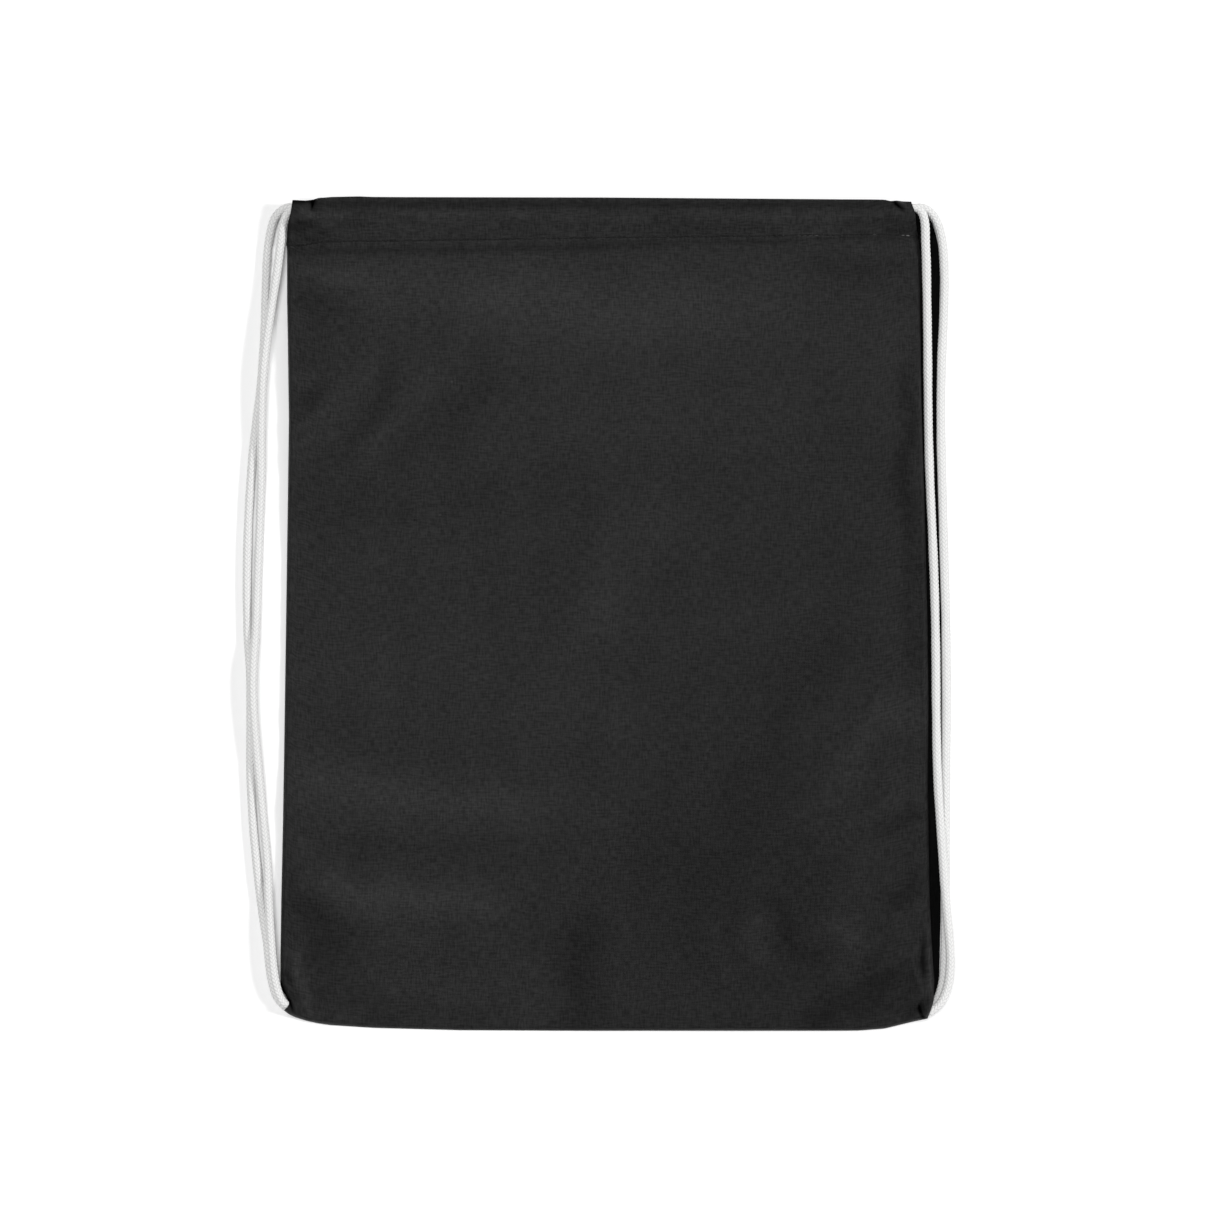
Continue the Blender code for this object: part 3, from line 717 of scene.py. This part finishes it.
def make_runs(side, near, far, inward, upper, material):
    """The hidden part: through the back tunnel, round at the far openings and through the front one."""
    slit = SLIT_RIGHT if inward > 0 else SLIT_LEFT
    far_leg = far - inward * slit
    turn = far - inward * (slit - BIGHT_REACH)
    radius = (FRONT_LANE_Z - BACK_LANE_Z) / 2
    start = near + inward * TAIL + inward * TAIL_GAP
    turn_y = lane_y(turn, upper, 0.3)
    middle_z = BACK_LANE_Z + radius
    back = lane_points(start, turn - inward * 4, upper, 0.4, BACK_LANE_Z)
    back += [(turn + inward * radius * math.cos(angle), turn_y, middle_z + radius * math.sin(angle))
             for angle in np.linspace(-math.pi / 2, math.pi / 2, 7)]
    back += [(turn - inward * 3, turn_y, FRONT_LANE_Z),
             (far_leg, lane_y(far_leg, upper, 0), FRONT_LANE_Z)]
    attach(hidden_cord(f"{side}_back_run_cord", back, material,
                        (f"{side}_back_run", f"{side}_cord_bight")), "bag_back")
    left_end, right_end = sorted((start, far_leg - inward * TAIL_GAP))
    left_half = lane_points(left_end, MIDDLE_X - TAIL_GAP / 2, upper, 0, FRONT_LANE_Z)
    right_half = lane_points(MIDDLE_X + TAIL_GAP / 2, right_end, upper, 0, FRONT_LANE_Z)
    lift_left(hidden_cord(f"{side}_front_run_cord_left", left_half, material, (f"{side}_front_run",)))
    lift_right(hidden_cord(f"{side}_front_run_cord_right", right_half, material, ()))


def make_cords(material):
    """The left cord takes the upper line in the tunnels, and the right cord the lower one."""
    make_strands("left", CHANNEL_LEFT, 1, (LEFT_FRONT_ROUTE, LEFT_BACK_ROUTE), material)
    make_runs("left", CHANNEL_LEFT, CHANNEL_RIGHT, 1, True, material)
    make_strands("right", CHANNEL_RIGHT, -1, (RIGHT_FRONT_ROUTE, RIGHT_BACK_ROUTE), material)
    make_runs("right", CHANNEL_RIGHT, CHANNEL_LEFT, -1, False, material)


# ---- the cloth ----
def rounded(distance, radius):
    """0 at an edge, 1 past the radius, along a quarter circle."""
    t = 1 - np.clip(distance / radius, 0, 1)
    return np.sqrt(np.clip(1 - t * t, 0, 1))


def bands(x, y, runs):
    """Sum of soft bands, each along a slightly bent line from x0, y0 to x1, y1."""
    total = np.zeros_like(x)
    for x0, y0, x1, y1, width, amount in runs:
        run = np.array([x1 - x0, y1 - y0], float)
        length = np.linalg.norm(run)
        run /= length
        along = (x - x0) * run[0] + (y - y0) * run[1]
        bend = min(0.04 * length, 0.5 * width)
        across = -(x - x0) * run[1] + (y - y0) * run[0] + bend * np.sin(along / length * math.pi)
        fade = (smoothstep(-0.25 * length, 0.2 * length, along)
                * (1 - smoothstep(0.6 * length, 1.2 * length, along)))
        total += amount * fade * np.exp(-(across / width) ** 2)
    return total


def crease_height(x, y):
    """How far the creases raise or sink the front sheet."""
    return CREASE_DEPTH * bands(x, y, CREASES)


def painted_shading_and_mottle(x, y):
    """Painted light and shade of the front sheet, with a faint random mottle, broken up so that no patch has
    a clean outline.
    """
    broad_x = x + 4.0 * waves(x, y, 45, 31)
    broad_y = y + 2.5 * waves(x, y, 35, 32)
    # painted shade in creases and painted highlights on ridges, then a faint random mottle
    return (PAINTED_SHADING_DEPTH * bands(broad_x, broad_y, PAINTED_SHADING_PATCHES) + bands(x, y, PAINTED_CREASE_SHADE_AND_HIGHLIGHTS)
            + 0.025 * waves(x, y, 45, 33) + 0.02 * waves(x, y, 18, 34))


def plan_grid(across, up, right_edge):
    """Plan position of each grid point inside four edges, and its distances from the side edges.

    across and up go from 0 to 1.
    """
    row = (STITCH_Y - BOTTOM) / (TOP - BOTTOM)
    lines, sides = [], []
    for end, line in ((0, BOTTOM_LINE), (-1, TOP_LINE)):
        x = LEFT_EDGE[end][0] + across * (right_edge[end][0] - LEFT_EDGE[end][0])
        lines.append(np.stack([x, line_y(line, x)], -1)[None])
    for edge, row_y in ((LEFT_EDGE, ROW_LEFT), (right_edge, ROW_RIGHT)):
        y = np.interp(up, [0, row, 1], [edge[0][1], row_y, edge[-1][1]])
        sides.append(np.stack([edge_x(edge, y), y], -1)[:, None])
    (bottom, top), (left, right) = lines, sides
    u = across[None, :, None]
    v = up[:, None, None]
    (lower_left, upper_left), (lower_right, upper_right) = (
        np.array([edge[0], edge[-1]]) for edge in (LEFT_EDGE, right_edge))
    corners = ((1 - u) * (1 - v) * lower_left + u * (1 - v) * lower_right
               + (1 - u) * v * upper_left + u * v * upper_right)
    place = (1 - v) * bottom + v * top + (1 - u) * left + u * right - corners
    x, y = place[..., 0], place[..., 1]
    from_left = x - edge_x(LEFT_EDGE, y)
    from_right = edge_x(right_edge, y) - x
    return x, y, np.maximum(from_left, 0), np.maximum(from_right, 0)


def edge_spacing(length, step, fine):
    """Positions from 0 to length: close together near both ends, even between."""
    half = [0.0]
    gap = fine
    while half[-1] < length / 2:
        half.append(half[-1] + gap)
        gap = min(step, gap * GRID_GROWTH)
    half = np.array(half[:-1])
    return np.concatenate([half, (length - half)[::-1]])


def corner_lumps(x, y):
    """The cloth over the two cords that are sewn into each bottom corner, from 0 to 1."""
    left = np.exp(-(((x + 177.5) / 7) ** 2 + ((y + 215) / 6) ** 2))
    right = np.exp(-(((x - 175) / 7) ** 2 + ((y + 217) / 6.5) ** 2))
    return left + right


def front_height(x, y, from_left, from_right):
    """Height of the front panel's outer face, without its rounded edges.

    It swells a little, is fuller over the cords and at the lower right, and is drawn in at the row.
    """
    swell = 4.0 + 0.45 * waves(x, y, 150, 11) + 0.12 * waves(x, y, 60, 5) + 0.04 * waves(x, y, 17, 8)
    near_side = np.minimum(from_left, from_right)
    allowance = np.where(from_left < from_right, 0.25, 0.6)
    seam = allowance * (smoothstep(0, 2.2, near_side) - smoothstep(8.0, 14.0, near_side))
    puckers = 0.20 * np.sin(y / 3.1 + 1.5 * np.sin(y / 13)) * np.exp(-near_side / 7.0)
    below = np.maximum(STITCH_Y - y, 0)
    broad = 0.5 + 0.5 * smoothstep(2, 30, near_side)
    shoulder = broad * (7.8 + 0.8 * smoothstep(0, 36, below)) * (1 - smoothstep(40, 190, below))
    fuller = 2.4 * smoothstep(-40, 90, x) * smoothstep(60, 150, -y) * (1 - 0.5 * smoothstep(180, 228, -y))
    ends = 0.25 + 0.75 * np.exp(-near_side / 35.0)
    gathers = (0.40 * ends * np.exp(-((STITCH_Y - y) / 11) ** 2)
               * np.sin(x / 2.3 + 2.2 * np.sin(x / 19.0) + 0.8 * np.sin(x / 7.0)))
    bottom = 0.9 * np.exp(-((y - BOTTOM - 9) / 9) ** 2)
    lumps = 6.0 * corner_lumps(x, y)
    return swell + seam + puckers + shoulder + fuller + gathers + bottom + lumps + crease_height(x, y)


def tunnel_height(y, base, crown, foot):
    """Height of a tunnel's wall from its stitch row to the mouth's edge."""
    rise = smoothstep(STITCH_Y, LOWER_LANE + 0.6, y)
    fall = smoothstep(UPPER_LANE + 1.2, TOP + 2.4, y)
    return foot + (crown - foot) * rise - (crown - base) * fall * fall


def sheet_grid(span, step, fine, right_edge):
    """Grid of a sheet: up from the fold, round the mouth's edge and inside down to the stitch row.

    Returns its columns' places from 0 to 1, its rows' levels on the way up, and for each point its
    plan, its distances from the side edges, its level and whether it is on the way up.
    """
    across = edge_spacing(span, step, fine) / span
    length = TOP - BOTTOM
    rising = BOTTOM + edge_spacing(length, step, fine)
    level = np.concatenate([rising, rising[rising > STITCH_Y][::-1][1:]])
    places = plan_grid(across, (level - BOTTOM) / length, right_edge)
    outer = np.repeat((np.arange(len(level)) < len(rising))[:, None], len(across), 1)
    return across, rising, *places, np.repeat(level[:, None], len(across), 1), outer


def sheet_object(name, x, y, z, material, replaced=(), flip=False):
    """A sheet from a grid of points. Its weave follows the cloth round the folds."""
    steps = np.sqrt(np.diff(y, axis=0) ** 2 + np.diff(z, axis=0) ** 2)
    unrolled = np.vstack([np.zeros((1, x.shape[1])), np.cumsum(steps, axis=0)])
    verts = np.stack([x, y, z], -1).reshape(-1, 3)
    uvs = np.stack([x.ravel() * MM, unrolled.ravel() * MM], 1)
    obj = mesh_object(name, verts, grid_faces(*x.shape, flip=flip), uvs)
    return finish_piece(obj, material, "black_cotton", *replaced)


def thicken(obj):
    """Gives the sheet its thickness, inwards, and applies it."""
    modifier = obj.modifiers.new("thickness", "SOLIDIFY")
    modifier.thickness = CLOTH * MM
    modifier.offset = -1
    modifier.use_rim = True
    bpy.context.view_layer.objects.active = obj
    with bpy.context.temp_override(object=obj, active_object=obj, selected_objects=[obj]):
        bpy.ops.object.modifier_apply(modifier=modifier.name)
    obj.data.shade_smooth()


def front_tunnel(x, y, from_left, from_right, level, outer):
    """Height of the front tunnel's outer and inner wall, as it lies over the cords."""
    at_row = np.full_like(y, STITCH_Y)
    foot = front_height(x, at_row, from_left, from_right) - 0.25
    lip = FRONT_LANE_Z - 0.2
    wrinkle = 0.16 * waves(x, y, 9, 21) + 0.10 * waves(x, y, 5, 4)
    ends = np.exp(-np.minimum(from_left, from_right) / 22.0)
    crown = FRONT_LANE_Z + CORD / 2 + CLOTH + 0.45
    over = tunnel_height(level, lip, crown, foot) + wrinkle * (0.4 + 1.5 * ends)
    creases = crease_height(x, y) - crease_height(x, at_row)
    over += creases * smoothstep(STITCH_Y, STITCH_Y + 3, level)
    under = tunnel_height(level, lip, FRONT_LANE_Z - CORD / 2 - 0.25, foot - CLOTH - 0.12)
    return np.where(outer, over, under)


def front_sheet_grid():
    """The front sheet's points, its middle column and the line of its stitch row."""
    across, rising, x, y, from_left, from_right, level, outer = sheet_grid(*FRONT_GRID, RIGHT_EDGE)
    middle = np.abs(across - 0.5).argmin()
    panel = front_height(x, y, from_left, from_right)
    z = np.where(level > STITCH_Y, front_tunnel(x, y, from_left, from_right, level, outer), panel)
    # the thread draws the cloth in along the row
    dimples = 0.30 + 0.12 * np.cos(x * 2 * math.pi / STITCH_PITCH)
    groove = (np.exp(-((level - STITCH_Y) / 0.9) ** 2) * dimples
              + 0.3 * np.exp(-((level - STITCH_Y) / 2.6) ** 2))
    z -= np.where(outer, groove, 0)
    # the side edges come down to the seam, but not at the tunnel's open ends
    lifted = 0.95 + 8.4 * corner_lumps(x, y)
    side_round = rounded(from_left, 2.4) * rounded(from_right, 2.4)
    open_end = smoothstep(STITCH_Y - 6, STITCH_Y + 4, level)
    side = side_round + (1 - side_round) * open_end
    z = lifted + (z - lifted) * side
    # the bottom edge comes down to the fold
    fold = rounded(y - line_y(BOTTOM_LINE, x), 2.6)
    floor = lifted - 0.6
    z = floor + (z - floor) * fold
    row = np.abs(rising - STITCH_Y).argmin()
    return x, y, z, middle, np.stack([x[row], y[row], z[row]], -1)


def make_front_sheet(material):
    """The front sheet in two halves, one for each side. Returns the line of its stitch row."""
    x, y, z, middle, stitch_line = front_sheet_grid()
    whole = sheet_object("front_sheet_whole", x, y, z, material)
    # painted light and shade for the front sheet, kept on the mesh as a per-vertex factor
    painted_shading = whole.data.attributes.new("painted_shading", "FLOAT", "POINT")
    painted_shading.data.foreach_set("value", painted_shading_and_mottle(x, y).ravel().astype(np.float32))
    thicken(whole)
    halves = []
    for name, keep_left, replaced in (("front_cloth_left", True, ("front_panel", "front_channel")),
                                      ("front_cloth_right", False, ("bottom_fold",))):
        half = whole.copy()
        half.data = whole.data.copy()
        half.name = name
        bpy.context.scene.collection.objects.link(half)
        keep_half(half, x.shape[1], x.size, middle, keep_left)
        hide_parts(*replaced)
        halves.append(half)
    bpy.data.objects.remove(whole)
    lift_left(halves[0])
    lift_right(halves[1])
    return stitch_line


def keep_half(obj, columns, count, middle, keep_left):
    """Keeps the faces on one side of the middle column, with the normals of the whole sheet.

    Each face of the thick sheet has count vertices, in rows of so many columns.
    """
    mesh = obj.data
    normals = np.zeros(len(mesh.vertices) * 3)
    mesh.vertices.foreach_get("normal", normals)
    normals = normals.reshape(-1, 3)
    bm = bmesh.new()
    bm.from_mesh(mesh)
    kept_normals = bm.verts.layers.float_vector.new("whole_normal")
    for vert in bm.verts:
        vert[kept_normals] = normals[vert.index]
    bm.verts.ensure_lookup_table()
    gone = []
    for face in bm.faces:
        mean = np.mean([(v.index % count) % columns for v in face.verts])
        if (mean > middle) == keep_left:
            gone.append(face)
    bmesh.ops.delete(bm, geom=gone, context="FACES")
    open_edges = [e for e in bm.edges if e.is_boundary]
    bmesh.ops.holes_fill(bm, edges=open_edges, sides=0)
    bm.to_mesh(mesh)
    bm.free()
    stored = np.zeros(len(mesh.vertices) * 3, np.float32)
    mesh.attributes["whole_normal"].data.foreach_get("vector", stored)
    mesh.attributes.remove(mesh.attributes["whole_normal"])
    mesh.normals_split_custom_set_from_vertices(stored.reshape(-1, 3).tolist())


def make_back_sheet(material):
    """The back sheet lies on the floor; its tunnel folds over the back cords."""
    _, _, x, y, from_left, _, level, outer = sheet_grid(*BACK_GRID, BACK_RIGHT_EDGE)
    # a little inside the front sheet's edges at the left, the fold and the mouth
    x = x + 0.5 * (1 - smoothstep(0, 3, from_left))
    above_fold = y - line_y(BOTTOM_LINE, x)
    y = y + 0.7 * (1 - smoothstep(0, 3, above_fold)) - 0.4 * smoothstep(TOP - 20, TOP, y)
    lip = BACK_LANE_Z
    clear = 0.08
    under = clear + (lip - clear) * (1 - rounded(TOP - level, 2.8))
    over = tunnel_height(level, lip, BACK_LANE_Z + CORD / 2 + CLOTH + 0.1, 1.35)
    back = sheet_object("back_cloth", x, y, np.where(outer, under, over), material,
                        ("back_panel", "back_channel"), flip=True)
    thicken(back)
    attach(back, "bag_back")


# ---- camera, light and floor ----
def make_stage():
    """White floor, even light from all round, and two lamps. The camera sees the surroundings white."""
    bpy.ops.mesh.primitive_plane_add(size=40.0, location=(0, 0, -0.0001))
    floor = bpy.context.object
    floor.name = "floor"
    n = Nodes("pale_floor")
    n.set(Base_Color=(0.94, 0.94, 0.94, 1.0), Roughness=0.95, Specular_IOR_Level=0.0)
    floor.data.materials.append(n.material)

    world = bpy.data.worlds.new("studio")
    world.use_nodes = True
    tree = world.node_tree
    sky = tree.nodes["Background"]
    sky.inputs["Color"].default_value = (1.0, 1.0, 1.0, 1.0)
    seen = tree.nodes.new("ShaderNodeLightPath")
    level = tree.nodes.new("ShaderNodeMapRange")
    level.inputs["To Min"].default_value = AMBIENT
    level.inputs["To Max"].default_value = 1.0
    tree.links.new(seen.outputs["Is Camera Ray"], level.inputs["Value"])
    tree.links.new(level.outputs[0], sky.inputs["Strength"])
    bpy.context.scene.world = world

    for name, power, degrees, direction in (("key", KEY_POWER, 9, (0.776, 0.05, 0.629)),
                                            ("softbox", SOFTBOX_POWER, 24, (-0.10, 0.13, 0.99))):
        light = bpy.data.lights.new(name, "SUN")
        light.energy = power
        light.angle = math.radians(degrees)
        lamp = bpy.data.objects.new(name, light)
        lamp.rotation_euler = Vector(direction).to_track_quat("Z", "Y").to_euler()
        bpy.context.scene.collection.objects.link(lamp)


def make_camera():
    """Square above the bag, from far away."""
    height = 3.0
    seen_width = 0.6665
    camera = bpy.data.cameras.new("camera")
    camera.sensor_width = 36.0
    camera.lens = 36.0 * (height - 0.006) / seen_width
    camera.clip_end = 50.0
    holder = bpy.data.objects.new("camera", camera)
    holder.location = (-0.00165, 0.0041, height)
    bpy.context.scene.collection.objects.link(holder)
    bpy.context.scene.camera = holder
    bpy.context.scene.view_settings.view_transform = "Standard"


black = cotton_cloth("black_cotton", (0.0125, 0.0125, 0.0125), 0.02, 0.12)
# painted shade: a darker, duller copy of the black cotton for the back sheet, so the strip beside the right
# edge reads as deep shade
inner = cotton_cloth("black_cotton_painted_deep_shade", (0.0020, 0.0020, 0.0020), 0.0, 0.03)
white = braided_cotton("white_cotton_braid", (0.78, 0.78, 0.772))
thread = spun_thread("black_thread", (0.010, 0.010, 0.010))
make_camera()
make_stage()
make_cords(white)
make_thread(thread, black, make_front_sheet(black))
make_back_sheet(inner)
